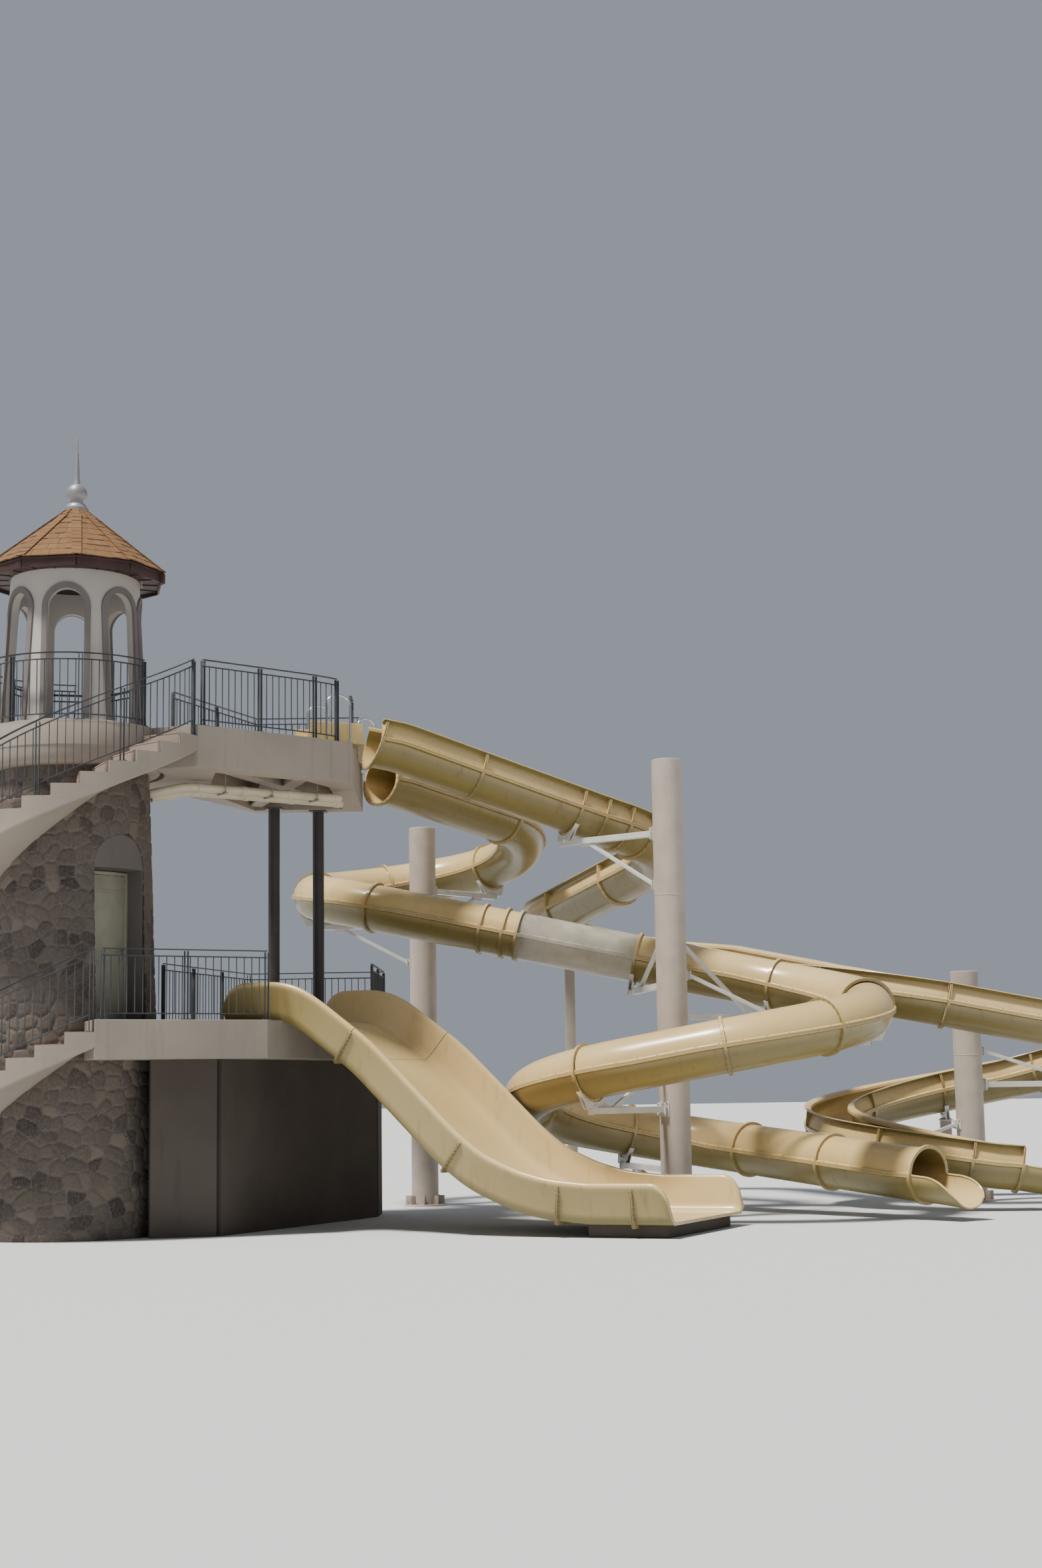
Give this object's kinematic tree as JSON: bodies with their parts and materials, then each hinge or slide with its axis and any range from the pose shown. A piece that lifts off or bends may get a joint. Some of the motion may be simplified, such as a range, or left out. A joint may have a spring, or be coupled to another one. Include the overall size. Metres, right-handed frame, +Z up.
{
  "type": "water slide tower",
  "caption": "Round stone stair tower with a lantern roof and two decks, feeding a winding open flume, a winding tube slide and a wide family slide that end over a pool.",
  "frame": {"origin": "middle of the footprint at the level of the pool's water", "axes": "+Z up; -Y towards the pool and the viewer; +X to the right, away from the tower"},
  "size_m": [20.2356, 15.005, 12.5],
  "materials": {
    "gelcoat": "glossy cream gelcoat on fibreglass",
    "clear_gelcoat": "cloudy translucent acrylic",
    "plaster": "painted cement render",
    "stone": "random rubble stone cladding",
    "shingle": "weathered timber shingles",
    "fascia": "stained board",
    "silver": "dull polished",
    "rail_steel": "dark satin paint",
    "dark_steel": "dark satin paint",
    "column_steel": "light satin paint",
    "door_paint": "cream satin paint",
    "pipe": "painted cream"
  },
  "bodies": {
    "root": {"back_column": "column_steel", "deck_column_left": "dark_steel", "deck_column_right": "dark_steel", "door_leaf": "door_paint", "door_level_floor": "plaster", "door_tympanum": "plaster", "drum_wall_door_side": "stone", "drum_wall_far_side": "stone", "family_slide_1": "gelcoat", "family_slide_2": "gelcoat", "family_slide_3": "gelcoat", "family_slide_plinth": "plaster", "gallery_railing": "rail_steel", "gallery_slab": "plaster", "lantern_wall_left": "plaster", "lantern_wall_right": "plaster", "lower_platform": "plaster", "lower_railing_back": "rail_steel", "lower_railing_front": "rail_steel", "lower_stair": "plaster", "lower_stair_railing": "rail_steel", "main_column": "column_steel", "open_slide_1": "gelcoat", "open_slide_2": "gelcoat", "open_slide_3": "gelcoat", "open_slide_4": "gelcoat", "open_slide_5": "gelcoat", "open_slide_6": "gelcoat", "open_slide_7": "gelcoat", "open_slide_8": "gelcoat", "open_slide_9": "gelcoat", "open_slide_tub": "gelcoat", "post_middle": "column_steel", "post_right": "column_steel", "right_column": "column_steel", "roof_fascia": "fascia", "roof_finial": "silver", "roof_shingles": "shingle", "supply_pipes": "pipe", "tube_slide_1": "gelcoat", "tube_slide_2": "gelcoat", "tube_slide_3": "gelcoat", "tube_slide_5": "gelcoat", "tube_slide_6": "gelcoat", "tube_slide_7": "gelcoat", "tube_slide_8": "gelcoat", "tube_slide_clear": "clear_gelcoat", "tube_slide_tub": "gelcoat", "undercroft_wall": "plaster", "upper_platform": "plaster", "upper_railing_back": "rail_steel", "upper_railing_front": "rail_steel", "upper_railing_side": "rail_steel", "upper_stair": "plaster", "upper_stair_railing": "rail_steel"}
  },
  "joints": []
}
